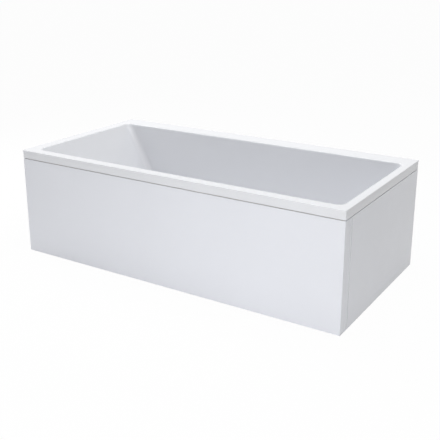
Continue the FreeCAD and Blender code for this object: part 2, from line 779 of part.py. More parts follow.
def wall_brackets():
    """Two angle brackets on the back wall that carry the back timber, and their screws."""
    brackets = []
    screws = []
    wall_y = "bath_width / 2"
    for index, side in enumerate((-1, 1)):
        middle = f"{side} * bracket_x"
        x = (f"{middle} - bracket_width / 2", f"{middle} + bracket_width / 2")
        screw_y = f"{wall_y} - bracket_screw_y"
        angle = joined(f"bracket_angle_{index}", [
            block(f"bracket_plate_{index}", x, (f"{wall_y} - bracket_plate", wall_y),
                  (f"{BATTEN_LOW} - bracket_drop", BATTEN_LOW)),
            block(f"bracket_shelf_{index}", x, (f"{wall_y} - bracket_reach", wall_y),
                  (f"{BATTEN_LOW} - bracket_plate", BATTEN_LOW)),
        ])
        holes = [
            rod(f"bracket_wall_hole_{index}", "bracket_hole_radius", "bracket_plate + 2", middle,
                f"{wall_y} + 1", f"{BATTEN_LOW} - bracket_hole_drop", (0, -1, 0)),
            rod(f"bracket_screw_hole_{index}", "screw_radius + screw_hole_clearance", "bracket_plate + 2",
                middle, screw_y, f"{BATTEN_LOW} - bracket_plate - 1"),
        ]
        brackets.append(without(f"wall_bracket_{index}", angle, holes))
        screws.append(screw(
            f"bracket_screw_{index}", middle, screw_y, f"{BATTEN_LOW} - bracket_plate", (0, 0, 1),
            "screw_radius", "bracket_plate + screw_bite", "screw_head_radius", "screw_head"))
    keep(group("wall_brackets", brackets), "wall_brackets")
    keep(group("wall_bracket_screws", screws), "wall_bracket_screws")


# ---------------------------------------------------------------- waste, plug and trap


def turned_piece(name, points):
    """A full turn about the waste's axis of an outline given as radius and height."""
    body = new_body(name)
    profile = new_sketch(body, name + "_profile", "XZ_Plane")
    outline(profile, points)
    turned(body, profile)
    place(body, WASTE_X, OPEN_Y)
    return body


def ring(name, inner, outer, low, high):
    return turned_piece(name, [(inner, low), (outer, low), (outer, high), (inner, high)])


def waste_flange():
    """Chromed flange with a threaded stem and a four-armed guide for the plug's stem."""
    low = f"({COLLAR_TOP} - waste_stem_reach)"
    body = turned_piece("waste_flange", [
        ("waste_bore_radius", low), ("waste_stem_radius", low), ("waste_stem_radius", FLANGE_LOW),
        ("waste_flange_radius", FLANGE_LOW),
        ("waste_flange_radius", f"{FLANGE_LOW} + waste_flange / 2"),
        ("waste_flange_radius - waste_flange / 2", FLANGE_TOP), ("waste_recess_radius", FLANGE_TOP),
        ("waste_recess_radius", PLUG_SEAT), ("waste_bore_radius", PLUG_SEAT)])
    reach = "(waste_bore_radius + (waste_stem_radius - waste_bore_radius) / 2)"
    for name, half_x, half_y in (("guide_arms_x", reach, "spoke_thickness / 2"),
                                 ("guide_arms_y", "spoke_thickness / 2", reach)):
        arms = new_sketch(body, name, away=GUIDE_LOW)
        outline(arms, [
            (f"-{half_x}", f"-({half_y})"), (half_x, f"-({half_y})"),
            (half_x, half_y), (f"-{half_x}", half_y)])
        extruded(body, arms, "guide_height")
    hub = new_sketch(body, "guide_hub", away=GUIDE_LOW)
    circle(hub, "guide_radius")
    extruded(body, hub, "guide_height")
    bore = new_sketch(body, "guide_bore", away=f"{GUIDE_LOW} + guide_height")
    circle(bore, "plug_stem_radius + guide_clearance")
    extruded(body, bore, "guide_height", "Pocket")


def waste_body():
    """Moulded body under the waste: threaded collar, chamber with two side ports, and a dip tube."""
    dip_low = "dip_floor_gap"
    thread = "waste_stem_radius + thread_clearance"
    chamber_floor = f"({NECK_LOW} + trap_wall)"
    stem_end = f"({COLLAR_TOP} - waste_stem_reach)"
    collar_low = f"({COLLAR_TOP} - collar_height)"
    body = turned_piece("waste_body", [
        ("dip_bore_radius", dip_low), ("dip_radius", dip_low), ("dip_radius", NECK_LOW),
        ("neck_radius", NECK_LOW), ("neck_radius", collar_low), ("waste_seal_radius", collar_low),
        ("waste_seal_radius", COLLAR_TOP), (thread, COLLAR_TOP), (thread, stem_end),
        ("chamber_radius", stem_end), ("chamber_radius", chamber_floor), ("dip_bore_radius", chamber_floor)])
    ports = (
        ("port", "0", "port_radius", "port_reach", "pipe_radius", "port_socket"),
        ("gland", "cable_y", "gland_radius", "gland_reach", "cable_radius", "gland_socket"),
    )
    for name, y, radius, reach, held, socket in ports:
        start = f"sqrt((neck_radius - trap_wall / 2)^2 - ({y} + {radius})^2)"
        boss = new_sketch(body, "waste_" + name, "YZ_Plane", x=y, y=PORT_Z, away=start)
        circle(boss, radius)
        extruded(body, boss, f"{reach} - {start}")
        mouth = new_sketch(body, f"waste_{name}_socket", "YZ_Plane", x=y, y=PORT_Z, away=reach)
        circle(mouth, f"{held} + fit_clearance")
        extruded(body, mouth, socket, "Pocket")
    bore = new_sketch(body, "waste_port_bore", "YZ_Plane", y=PORT_Z, away="port_reach")
    circle(bore, "pipe_radius - pipe_wall")
    extruded(body, bore, "port_reach - chamber_radius / 2", "Pocket")


def trap():
    """Shallow drum trap under the waste, its sealing ring and its union nut."""
    ring("trap_seal", "trap_neck_bore", "neck_radius", TRAP_NECK_TOP, NECK_LOW)
    ring(
        "trap_nut", "neck_radius + thread_clearance", "trap_nut_radius",
        TRAP_TOP, f"{TRAP_TOP} + trap_nut_height")
    inner = "trap_radius - trap_wall"
    body = turned_piece("trap_body", [
        ("0", "trap_floor_gap"), ("trap_radius", "trap_floor_gap"), ("trap_radius", TRAP_TOP),
        ("neck_radius", TRAP_TOP), ("neck_radius", TRAP_NECK_TOP), ("trap_neck_bore", TRAP_NECK_TOP),
        ("trap_neck_bore", f"{TRAP_TOP} - trap_wall"), (inner, f"{TRAP_TOP} - trap_wall"),
        (inner, "trap_floor_gap + trap_wall"), ("0", "trap_floor_gap + trap_wall")])
    start = f"sqrt(({inner})^2 - outlet_hub_radius^2)"
    for name, radius, reach in (("hub", "outlet_hub_radius", "outlet_hub_reach"),
                                ("outlet", "outlet_radius", "outlet_reach")):
        tube = new_sketch(body, "trap_" + name, "XZ_Plane", y=OUTLET_Z, away=f"-{start}")
        circle(tube, radius)
        extruded(body, tube, f"{reach} - {start}", backwards=True)
    bore = new_sketch(body, "trap_outlet_bore", "XZ_Plane", y=OUTLET_Z, away="-outlet_reach")
    circle(bore, "outlet_radius - outlet_wall")
    extruded(body, bore, f"outlet_reach - {start} + outlet_wall", "Pocket", backwards=True)


def plug():
    """Plug with a rubber seal under its cap and a stem that slides in the guide."""
    cap_low = f"({PLUG_SEAT} + plug_seal)"
    cap_top = f"({cap_low} + plug_height)"
    socket = "plug_stem_radius + fit_clearance"
    ring("plug_seal", "plug_seal_bore", "plug_seal_radius", PLUG_SEAT, cap_low)
    turned_piece("plug_cap", [
        (socket, cap_low), ("plug_radius", cap_low), ("plug_radius", f"{cap_top} - plug_round"),
        ("plug_radius - plug_round", cap_top), ("0", cap_top), ("0", f"{cap_low} + plug_socket"),
        (socket, f"{cap_low} + plug_socket")])
    stem_low = f"({GUIDE_LOW} - plug_stem_tail)"
    turned_piece("plug_stem", [
        ("0", stem_low), ("plug_stem_radius", stem_low), ("plug_stem_radius", f"{cap_low} + plug_socket"),
        ("0", f"{cap_low} + plug_socket")])


# ---------------------------------------------------------------- overflow, its knob, pipe and cable


def turned_on_wall(name, points):
    """A full turn about the overflow's axis of an outline given as depth behind the wall and radius."""
    body = new_body(name)
    profile = new_sketch(body, name + "_profile", "XZ_Plane")
    outline(profile, points)
    turned(body, profile, "H_Axis")
    lean_with_foot_wall(body)
    return body


def overflow():
    """Cup behind the wall, its seal, and the plate in the basin that holds them together."""
    back = f"({CUP_X} + overflow_cup_depth)"
    inner = "(overflow_cup_radius - overflow_wall)"
    turned_on_wall("overflow_seal", [
        (WALL_X, "overflow_hole_radius"), (CUP_X, "overflow_hole_radius"), (CUP_X, "overflow_seal_radius"),
        (WALL_X, "overflow_seal_radius")])
    body = turned_on_wall("overflow_body", [
        (CUP_X, inner), (CUP_X, "overflow_seal_radius"), (f"{CUP_X} + overflow_wall", "overflow_seal_radius"),
        (f"{CUP_X} + overflow_wall", "overflow_cup_radius"), (back, "overflow_cup_radius"), (back, "0"),
        (f"{back} - overflow_wall", "0"), (f"{back} - overflow_wall", inner)])
    tubes = (
        ("spigot", "0", "spigot_radius", "spigot_reach", "pipe_radius", "pipe_socket"),
        ("gland", "cable_y", "gland_radius", "gland_reach", "cable_radius", "gland_socket"),
    )
    for name, y, radius, reach, held, socket in tubes:
        start = f"sqrt((overflow_cup_radius - overflow_wall / 2)^2 - ({y} + {radius})^2)"
        tube = new_sketch(body, "overflow_" + name, x="pipe_offset", y=y, away=f"-{start}")
        circle(tube, radius)
        extruded(body, tube, f"{reach} - {start}", backwards=True)
        mouth = new_sketch(body, f"overflow_{name}_socket", x="pipe_offset", y=y, away=f"-{reach}")
        circle(mouth, f"{held} + fit_clearance")
        extruded(body, mouth, socket, "Pocket", backwards=True)
    bore = new_sketch(body, "overflow_spigot_bore", x="pipe_offset", away="-spigot_reach")
    circle(bore, "pipe_radius - pipe_wall")
    extruded(body, bore, "spigot_reach - overflow_cup_radius / 2", "Pocket", backwards=True)
    boss_start = f"({CUP_X} + overflow_boss_inset)"
    for index, side in enumerate((-1, 1)):
        y = f"{side} * overflow_screw_y"
        boss = new_sketch(body, f"overflow_boss_{index}", "YZ_Plane", x=y, away=boss_start)
        circle(boss, "overflow_boss_radius")
        extruded(body, boss, f"{back} - overflow_wall / 2 - {boss_start}")
        pilot = new_sketch(body, f"overflow_pilot_{index}", "YZ_Plane", x=y, away=boss_start)
        circle(pilot, "overflow_screw_radius + fit_clearance")
        depth = f"overflow_screw_length - faceplate - {boss_start} + overflow_wall / 2"
        extruded(body, pilot, depth, "Pocket", backwards=True)


def overflow_faceplate():
    """Plate with four water holes, two screw holes and a bearing for the knob's spindle."""
    bore = "spindle_radius + fit_clearance"
    body = turned_on_wall("overflow_faceplate", [
        ("-faceplate", bore), ("-faceplate", "faceplate_radius"), ("0", "faceplate_radius"),
        ("0", "faceplate_hub_radius"), ("faceplate_hub_reach", "faceplate_hub_radius"),
        ("faceplate_hub_reach", bore)])
    cut = new_sketch(body, "faceplate_holes", "YZ_Plane")
    across = "faceplate_hole_circle * sqrt(0.5)"
    for side in (-1, 1):
        circle(cut, "overflow_screw_radius + fit_clearance", f"{side} * overflow_screw_y")
        for up in (-1, 1):
            circle(cut, "faceplate_hole_radius", f"{side} * {across}", f"{up} * {across}")
    extruded(body, cut, "faceplate + 1", "Pocket")
    screws = [
        screw(f"overflow_screw_{index}", "-faceplate", f"{side} * overflow_screw_y", "0", (1, 0, 0),
              "overflow_screw_radius", "overflow_screw_length", "overflow_screw_head_radius",
              "overflow_screw_head")
        for index, side in enumerate((-1, 1))]
    fasteners = keep(group("overflow_screws", screws), "overflow_screws")
    lean_with_foot_wall(fasteners)


def overflow_knob():
    """Turning knob with two finger hollows, and the spindle and crank that pull the cable."""
    socket = "spindle_radius + fit_clearance"
    hub = "(-faceplate - knob_running_gap)"
    back = "(-faceplate - knob_gap)"
    face = f"({back} - knob_thickness)"
    seat = f"({back} - knob_thickness / 2)"
    body = turned_on_wall("overflow_knob", [
        (hub, socket), (hub, "knob_hub_radius"), (back, "knob_hub_radius"), (back, "knob_radius"),
        (f"{face} + knob_round", "knob_radius"), (face, "knob_radius - knob_round"), (face, "0"),
        (seat, "0"), (seat, socket)])
    grips = new_sketch(body, "knob_grips", "YZ_Plane", away=back)
    for side in (-1, 1):
        circle(grips, "grip_radius", f"{side} * (knob_radius + grip_radius - grip_depth)")
    extruded(body, grips, "knob_thickness + 1", "Pocket")
    end = f"({CUP_X} + overflow_cup_depth - overflow_wall - knob_running_gap)"
    crank = f"({end} - crank_thickness)"
    turned_on_wall("knob_spindle", [
        (seat, "0"), (seat, "spindle_radius"), (crank, "spindle_radius"), (crank, "crank_radius"),
        (end, "crank_radius"), (end, "0")])


def down_the_foot_wall(name, y, top, end, section):
    """A tube that starts parallel to the foot wall, bends once and runs level to the waste.

    top is how far below the overflow's axis it starts, and end how far from the waste's axis it ends."""
    body = new_body(name)
    turn_run = "(pipe_bend * tan((90 - foot_slope) / 2))"
    line_x = f"({OVERFLOW_X} + pipe_offset * cos(foot_slope))"
    line_z = f"({OVERFLOW_Z} - pipe_offset * sin(foot_slope))"
    corner_drop = f"(({line_z} - {PORT_Z}) / cos(foot_slope))"

    def on_wall_line(drop):
        return f"({line_x} - {drop} * sin(foot_slope))", f"({line_z} - {drop} * cos(foot_slope))"

    start = on_wall_line(f"({top})")
    bend_start = on_wall_line(f"({corner_drop} - {turn_run})")
    corner_x = on_wall_line(corner_drop)[0]
    bend_end = (f"({corner_x} - {turn_run})", PORT_Z)
    finish = (f"({WASTE_X} + {end})", PORT_Z)
    path = new_sketch(body, name + "_path", "XZ_Plane", away=f"-({y})")
    level = [FreeCAD.Vector(number(point[0]), number(point[1]), 0) for point in (finish, bend_end)]
    sloping = [FreeCAD.Vector(number(point[0]), number(point[1]), 0) for point in (bend_start, start)]
    centre = level[1] + FreeCAD.Vector(0, number("pipe_bend"), 0)
    ends = [(point - centre).getAngle(FreeCAD.Vector(1, 0, 0)) for point in (level[1], sloping[0])]
    bend = Part.ArcOfCircle(
        Part.Circle(centre, FreeCAD.Vector(0, 0, 1), number("pipe_bend")), -ends[0], -ends[1])
    path.addGeometry(Part.LineSegment(*level), False)
    path.addGeometry(bend, False)
    path.addGeometry(Part.LineSegment(*sloping), False)
    path.addConstraint(Sketcher.Constraint("Coincident", 0, 2, 1, 1))
    path.addConstraint(Sketcher.Constraint("Coincident", 1, 2, 2, 1))
    measure(path, "Radius", 1, formula="pipe_bend")
    pin(path, 0, 1, *finish)
    pin(path, 0, 2, *bend_end)
    pin(path, 2, 1, *bend_start)
    pin(path, 2, 2, *start)
    profile = new_sketch(body, name + "_profile", "YZ_Plane", x=y, y=PORT_Z, away=finish[0])
    for radius in section:
        circle(profile, radius)
    pipe = body.newObject("PartDesign::AdditivePipe", name + "_sweep")
    pipe.Profile = profile
    pipe.Spine = path


bath_shell()
base_board()
rim_battens()
frame()
board_screws()
leg_nuts()
for side_name in SIDES:
    for end_name in ENDS:
        levelling_leg(side_name, end_name)
front_panel()
end_panel()
corner_strip()
panel_catches()
wall_brackets()
ring("waste_top_seal", "waste_hole_radius", "waste_seal_radius", FLOOR_Z, FLANGE_LOW)
waste_flange()
ring("waste_under_seal", "waste_hole_radius", "waste_seal_radius", COLLAR_TOP, BOARD_Z)
waste_body()
trap()
plug()
overflow()
overflow_faceplate()
overflow_knob()
down_the_foot_wall(
    "overflow_pipe", OPEN_Y, "spigot_reach - pipe_socket", "port_reach - port_socket",
    ["pipe_radius", "pipe_radius - pipe_wall"])
down_the_foot_wall(
    "control_cable", f"{OPEN_Y} + cable_y", "gland_reach - gland_socket", "gland_reach - gland_socket",
    ["cable_radius"])

doc.recompute()
failed = [item.Name for item in doc.Objects if "Invalid" in item.State or "Error" in item.State]
if failed:
    raise RuntimeError(f"these did not build: {failed}")
for piece in pieces:
    if piece.Shape.isNull() or not piece.Shape.isValid() or not piece.Shape.Solids:
        raise RuntimeError(f"{piece.Label} has no valid solid")

os.makedirs("parts", exist_ok=True)
for piece in pieces:
    piece.Shape.exportStep(f"parts/{piece.Label}.step")
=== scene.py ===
import json
import math

import bmesh
import bpy
from mathutils import Matrix, Vector


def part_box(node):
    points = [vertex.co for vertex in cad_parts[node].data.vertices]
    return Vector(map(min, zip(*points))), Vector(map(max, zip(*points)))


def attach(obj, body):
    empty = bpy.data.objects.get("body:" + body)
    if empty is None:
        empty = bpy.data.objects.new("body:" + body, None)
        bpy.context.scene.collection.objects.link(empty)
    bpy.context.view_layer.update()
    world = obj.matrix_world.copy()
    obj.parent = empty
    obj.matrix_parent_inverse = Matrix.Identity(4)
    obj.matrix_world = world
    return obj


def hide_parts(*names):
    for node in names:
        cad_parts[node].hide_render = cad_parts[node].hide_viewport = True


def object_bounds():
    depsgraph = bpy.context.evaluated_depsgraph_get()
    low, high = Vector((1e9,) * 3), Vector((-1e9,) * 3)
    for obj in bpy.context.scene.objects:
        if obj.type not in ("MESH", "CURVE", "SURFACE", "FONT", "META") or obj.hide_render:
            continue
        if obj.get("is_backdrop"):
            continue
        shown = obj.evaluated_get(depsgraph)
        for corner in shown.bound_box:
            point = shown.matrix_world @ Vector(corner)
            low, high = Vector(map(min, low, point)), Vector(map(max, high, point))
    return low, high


# Alcove bath: finishes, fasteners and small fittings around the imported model. Metres, +Z up,
# front at -Y, head (the sloping backrest) at -X, foot (the waste and overflow) at +X.

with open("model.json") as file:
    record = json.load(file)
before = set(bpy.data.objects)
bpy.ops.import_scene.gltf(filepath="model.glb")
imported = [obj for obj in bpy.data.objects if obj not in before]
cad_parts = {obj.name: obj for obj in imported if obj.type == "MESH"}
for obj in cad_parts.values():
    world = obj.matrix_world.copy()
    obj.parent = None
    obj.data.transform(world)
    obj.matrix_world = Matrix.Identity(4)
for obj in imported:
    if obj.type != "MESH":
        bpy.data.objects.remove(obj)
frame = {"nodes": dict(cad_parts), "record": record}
CAD_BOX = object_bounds()

SHELL_LOW, SHELL_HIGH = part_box("bath_shell")

# ---------------------------------------------------------------- shader building blocks

# Nearly all of a noise pattern lies between these two values.
NOISE_LOW = 0.3
NOISE_HIGH = 0.7

# Glass fibre: cycles per metre along a strand and twice across it, and how each layer of strands lies.
STRAND_SCALE = (50, 520, 520)
STRAND_TURNS = ((0.3, 0.2, 0.5), (1.3, 1.2, -0.6), (-0.8, 2.2, 1.4))


def three(scale):
    """A scale for each axis, from one number or from three."""
    return scale if isinstance(scale, tuple) else (scale,) * 3


class Surface:
    """A material with one Principled shader, and the nodes that feed it."""

    def __init__(self, name, **values):
        self.material = bpy.data.materials.new(name)
        self.material.use_nodes = True
        self.tree = self.material.node_tree
        self.shader = self.tree.nodes["Principled BSDF"]
        for socket, value in values.items():
            self.shader.inputs[socket.replace("_", " ").title()].default_value = value
        self.place = self.tree.nodes.new("ShaderNodeTexCoord").outputs["Object"]
        self.last_bump = None

    def node(self, kind, **settings):
        """A new shader node of a kind, with its settings."""
        made = self.tree.nodes.new("ShaderNode" + kind)
        for name, value in settings.items():
            setattr(made, name, value)
        return made

    def join(self, source, target):
        """A link from an output to an input."""
        self.tree.links.new(source, target)

    def stretched(self, scale, turn=(0, 0, 0)):
        """The place on the object, turned and then scaled along each axis, in cycles per metre."""
        mapping = self.node("Mapping", vector_type="TEXTURE")
        mapping.inputs["Rotation"].default_value = turn
        mapping.inputs["Scale"].default_value = tuple(1 / axis for axis in scale)
        self.join(self.place, mapping.inputs["Vector"])
        return mapping.outputs["Vector"]

    def noise(self, scale, detail=3, roughness=0.5, distortion=0, turn=(0, 0, 0)):
        """Cloudy noise; scale is one number or one for each axis, in cycles per metre."""
        texture = self.node("TexNoise")
        texture.inputs["Scale"].default_value = 1
        texture.inputs["Detail"].default_value = detail
        texture.inputs["Roughness"].default_value = roughness
        texture.inputs["Distortion"].default_value = distortion
        self.join(self.stretched(three(scale), turn), texture.inputs["Vector"])
        return texture.outputs["Fac"]

    def strands(self):
        """Short strands that lie in three directions, as in chopped glass fibre."""
        laid = [
            self.noise(STRAND_SCALE, detail=2, roughness=0.5, distortion=0.4, turn=turn)
            for turn in STRAND_TURNS]
        return self.math("MAXIMUM", self.math("MAXIMUM", laid[0], laid[1]), laid[2])

    def cells(self, scale, output="Color"):
        """Random flat cells; scale is as for noise."""
        texture = self.node("TexVoronoi")
        texture.inputs["Scale"].default_value = 1
        self.join(self.stretched(three(scale)), texture.inputs["Vector"])
        return texture.outputs[output]

    def ramp(self, value, stops):
        """Colours at places along a value from 0 to 1."""
        ramp = self.node("ValToRGB")
        while len(ramp.color_ramp.elements) < len(stops):
            ramp.color_ramp.elements.new(0.5)
        for element, (place, colour) in zip(ramp.color_ramp.elements, stops):
            element.position = place
            element.color = (*colour, 1)
        self.join(value, ramp.inputs["Fac"])
        return ramp.outputs["Color"]

    def drift(self, noise, dark, light):
        """Noise that drifts from one colour to another."""
        return self.ramp(noise, [(NOISE_LOW, dark), (NOISE_HIGH, light)])

    def between(self, value, low, high, from_low=NOISE_LOW, from_high=NOISE_HIGH):
        """A value carried from one range to another."""
        carried = self.node("MapRange")
        ends = {"From Min": from_low, "From Max": from_high, "To Min": low, "To Max": high}
        for name, number in ends.items():
            carried.inputs[name].default_value = number
        self.join(value, carried.inputs["Value"])
        return carried.outputs["Result"]

    def math(self, operation, first, second=None):
        """A sum on one or two values, each a number or an output."""
        made = self.node("Math", operation=operation)
        for socket, value in zip(made.inputs, (first, second)):
            if value is None:
                continue
            if isinstance(value, (int, float)):
                socket.default_value = value
            else:
                self.join(value, socket)
        return made.outputs["Value"]

    def mixed(self, share, first, second):
        """Two colours mixed by a share that varies over the surface."""
        mix = self.node("Mix", data_type="RGBA")
        self.join(share, mix.inputs["Factor"])
        for name, colour in (("A", first), ("B", second)):
            socket = next(s for s in mix.inputs if s.name == name and s.type == "RGBA")
            if isinstance(colour, tuple):
                socket.default_value = (*colour, 1)
            else:
                self.join(colour, socket)
        return next(s for s in mix.outputs if s.type == "RGBA")

    def bump(self, height, depth):
        """Relief of a depth in metres, on top of any relief already there."""
        made = self.node("Bump")
        made.inputs["Distance"].default_value = depth
        self.join(height, made.inputs["Height"])
        if self.last_bump:
            self.join(self.last_bump, made.inputs["Normal"])
        self.last_bump = made.outputs["Normal"]
        self.join(self.last_bump, self.shader.inputs["Normal"])

    def colour(self, output):
        """An output as the surface's colour."""
        self.join(output, self.shader.inputs["Base Color"])

    def roughness(self, output):
        """An output as the surface's roughness."""
        self.join(output, self.shader.inputs["Roughness"])


def shade(colour, factor):
    """A colour made darker or lighter."""
    return tuple(part * factor for part in colour)


# ---------------------------------------------------------------- the finishes

WHITE = (0.805, 0.815, 0.845)
PANEL_WHITE = (0.82, 0.835, 0.885)
RESIN_STOPS = [(0.5, (0.40, 0.39, 0.35)), (0.7, (0.62, 0.61, 0.56))]
SOFTWOOD = (0.58, 0.40, 0.22)
CHIPS = (180, 320, 250)
STEEL_GRAIN = (120, 120, 900)
PLATED_GRAIN = (60, 60, 60)

# How far in from the shell's ends, its sides and its top the resin backing starts.
BACKING_FROM_ENDS = 0.02
BACKING_FROM_SIDES = 0.029
BACKING_FROM_TOP = 0.0045
SHELL_BACKING = (
    SHELL_HIGH.x - BACKING_FROM_ENDS, SHELL_HIGH.y - BACKING_FROM_SIDES, SHELL_HIGH.z - BACKING_FROM_TOP)

# The backed faces of the panels lie this near to the bath's middle, at any height.
PANEL_BACKING = (0.7565, 0.3755, 1)


def acrylic(name, colour):
    """Thermoformed acrylic sheet: glossy, with faint long waves and fine wipe marks in the gloss."""
    made = Surface(name, coat_weight=0.25, coat_roughness=0.05)
    made.colour(made.drift(made.noise(3, detail=4), shade(colour, 0.985), colour))
    made.roughness(made.between(made.noise((40, 12, 12), detail=6), low=0.16, high=0.26))
    made.bump(made.noise(14, detail=1), depth=0.00012)
    made.bump(made.noise(260, detail=2), depth=0.000008)
    return made


def resin_backed(name, colour, side, limits):
    """Acrylic on the faces that show, with resin and chopped glass fibre on those behind it.

    The side says how a backed face looks: LESS_THAN for away from the bath's middle, GREATER_THAN for
    towards it. A backed face also lies within the limits, which are distances from the origin.
    """
    made = acrylic(name, colour)
    geometry = made.node("NewGeometry")
    to_middle = made.node("VectorMath", operation="SUBTRACT")
    to_middle.inputs[0].default_value = (SHELL_LOW + SHELL_HIGH) / 2
    made.join(made.place, to_middle.inputs[1])
    facing = made.node("VectorMath", operation="DOT_PRODUCT")
    made.join(to_middle.outputs["Vector"], facing.inputs[0])
    made.join(geometry.outputs["Normal"], facing.inputs[1])
    backed = made.math(side, facing.outputs["Value"], 0)
    split = made.node("SeparateXYZ")
    made.join(made.place, split.inputs["Vector"])
    for axis, limit in zip("XYZ", limits):
        reach = made.math("ABSOLUTE", split.outputs[axis])
        backed = made.math("MULTIPLY", backed, made.math("LESS_THAN", reach, limit))
    strands = made.strands()
    front = made.shader.inputs["Base Color"].links[0].from_socket
    made.colour(made.mixed(backed, front, made.ramp(strands, RESIN_STOPS)))
    gloss = made.shader.inputs["Roughness"].links[0].from_socket
    duller = made.math("MULTIPLY", backed, 0.35)
    made.roughness(made.math("ADD", gloss, duller))
    made.bump(made.math("MULTIPLY", strands, backed), depth=0.0009)
    return made


def resin(name):
    """Trowelled resin with glass fibres in it."""
    made = Surface(name)
    strands = made.strands()
    made.colour(made.ramp(strands, RESIN_STOPS))
    made.roughness(made.between(strands, low=0.35, high=0.6))
    made.bump(strands, depth=0.0006)
    return made


def timber(name, colour, along):
    """Sawn softwood with the grain along one axis: 0 for X, 1 for Y."""
    def grained(lengthwise, across):
        return tuple(lengthwise if axis == along else across for axis in range(3))

    made = Surface(name)
    grain = made.noise(grained(3, 90), detail=5, roughness=0.6, distortion=0.6)
    late_wood = shade(colour, 0.62)
    early_wood = shade(colour, 0.84)
    made.colour(made.ramp(grain, [(NOISE_LOW, late_wood), (0.5, colour), (NOISE_HIGH, early_wood)]))
    made.roughness(made.between(made.noise(grained(8, 300)), low=0.55, high=0.75))
    made.bump(made.noise(grained(12, 900), detail=4), depth=0.0003)
    return made


def particle_board(name, colour):
    """Pressed chips a few millimetres across."""
    made = Surface(name)
    dark_chip = shade(colour, 0.55)
    light_chip = shade(colour, 1.2)
    made.colour(made.ramp(made.cells(CHIPS), [(0, dark_chip), (0.5, colour), (1, light_chip)]))
    made.roughness(made.between(made.noise(300), low=0.6, high=0.8))
    made.bump(made.cells(CHIPS, "Distance"), depth=0.0003)
    return made


def fibre_board(name, colour):
    """Smooth fibre board with a soft mottle."""
    made = Surface(name)
    mottle = made.noise(160, detail=6, roughness=0.7)
    made.colour(made.drift(mottle, shade(colour, 0.86), shade(colour, 1.08)))
    made.roughness(made.between(made.noise(500), low=0.6, high=0.75))
    made.bump(made.noise(1400), depth=0.00008)
    return made


def painted_steel(name, colour):
    """Powder-coated tube: fine orange peel, and scuffs that show a lighter grey."""
    made = Surface(name, coat_weight=0.15, coat_roughness=0.25)
    wear = made.noise((30, 30, 110), detail=8, roughness=0.7)
    scuffs = made.between(wear, low=0, high=1, from_low=0.66, from_high=0.74)
    made.colour(made.mixed(scuffs, colour, shade(colour, 2.4)))
    made.roughness(made.between(made.noise(60, detail=4), low=0.34, high=0.52))
    made.bump(made.noise(900, detail=2), depth=0.00005)
    return made


def metal(name, colour, low, high, grain):
    """Bare or plated metal with its gloss broken up by a fine grain."""
    made = Surface(name, metallic=1.0)
    made.colour(made.drift(made.noise(35, detail=4), shade(colour, 0.9), colour))
    made.roughness(made.between(made.noise(grain, detail=5), low, high))
    made.bump(made.noise(grain), depth=0.00001)
    return made


def plastic(name, colour, low, high):
    """Moulded plastic with a fine spark-eroded texture and a little colour drift."""
    made = Surface(name)
    made.colour(made.drift(made.noise(22, detail=4), shade(colour, 0.95), colour))
    made.roughness(made.between(made.noise(400, detail=4), low, high))
    made.bump(made.noise(1500, detail=2), depth=0.00004)
    return made


FINISHES = {
    "bath_acrylic": resin_backed("bath_acrylic_finish", WHITE, "LESS_THAN", SHELL_BACKING),
    "panel_acrylic": resin_backed("panel_acrylic_finish", PANEL_WHITE, "GREATER_THAN", PANEL_BACKING),
    "particle_board": particle_board("particle_board_finish", (0.42, 0.29, 0.16)),
    "timber": timber("timber_finish", SOFTWOOD, along=0),
    "panel_board": fibre_board("panel_board_finish", (0.34, 0.22, 0.12)),
    "frame_paint": painted_steel("frame_paint_finish", (0.035, 0.038, 0.042)),
    "zinc_steel": metal("zinc_steel_finish", (0.60, 0.61, 0.62), 0.22, 0.42, STEEL_GRAIN),
    "magnet_steel": metal("magnet_steel_finish", (0.36, 0.37, 0.38), 0.25, 0.4, STEEL_GRAIN),
    "foot_plastic": plastic("foot_plastic_finish", (0.018, 0.018, 0.019), 0.42, 0.6),
    "chrome": metal("chrome_finish", (0.55, 0.556, 0.565), 0.04, 0.1, PLATED_GRAIN),
    "brass": metal("brass_finish", (0.60, 0.42, 0.17), 0.2, 0.34, STEEL_GRAIN),
    "seal_rubber": plastic("seal_rubber_finish", (0.02, 0.02, 0.02), 0.6, 0.8),
    "pipe_plastic": plastic("pipe_plastic_finish", (0.72, 0.72, 0.70), 0.32, 0.45),
    "cable_sleeve": plastic("cable_sleeve_finish", (0.022, 0.022, 0.025), 0.38, 0.5),
}
CROSS_TIMBER = timber("cross_timber_finish", SOFTWOOD, along=1)
CROSS_BATTENS = ("rim_batten_head", "rim_batten_foot")
RESIN = resin("resin_finish")


def finish_node(node, slot):
    """Its finish on a node of the model: the slot's, or the other timber on a batten that runs across."""
    surface = CROSS_TIMBER if node in CROSS_BATTENS else FINISHES[slot]
    materials = frame["nodes"][node].data.materials
    materials.clear()
    materials.append(surface.material)


for part in frame["record"]["subparts"]:
    finish_node(part["node"], part["material_slot"])

# ---------------------------------------------------------------- shapes in mesh code

# Two faces that meet at more than this angle, in degrees, show a sharp edge: on turned and cut pieces,
# and on welds and beads of resin.
CRISP = 35
SOFT = 60


class Shape:
    """Points and faces gathered into one piece."""

    def __init__(self):
        self.points = []
        self.faces = []

    def add(self, points, faces, place=Matrix()):
        """More points, carried to a place, and the faces between them."""
        first = len(self.points)
        self.points += [place @ Vector(point) for point in points]
        self.faces += [[first + index for index in face] for face in faces]

    def make(self, name, body, slot, stands_for=None, sharp=CRISP, surface=None):
        """The piece itself, on a body, in its slot's finish or another surface; it may stand for a node."""
        mesh = bpy.data.meshes.new(name)
        mesh.from_pydata(self.points, [], self.faces)
        mesh.polygons.foreach_set("use_smooth", [True] * len(mesh.polygons))
        mesh.set_sharp_from_angle(angle=math.radians(sharp))
        mesh.materials.append((surface or FINISHES[slot]).material)
        made = bpy.data.objects.new(name, mesh)
        bpy.context.scene.collection.objects.link(made)
        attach(made, body)
        if stands_for:
            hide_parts(stands_for)


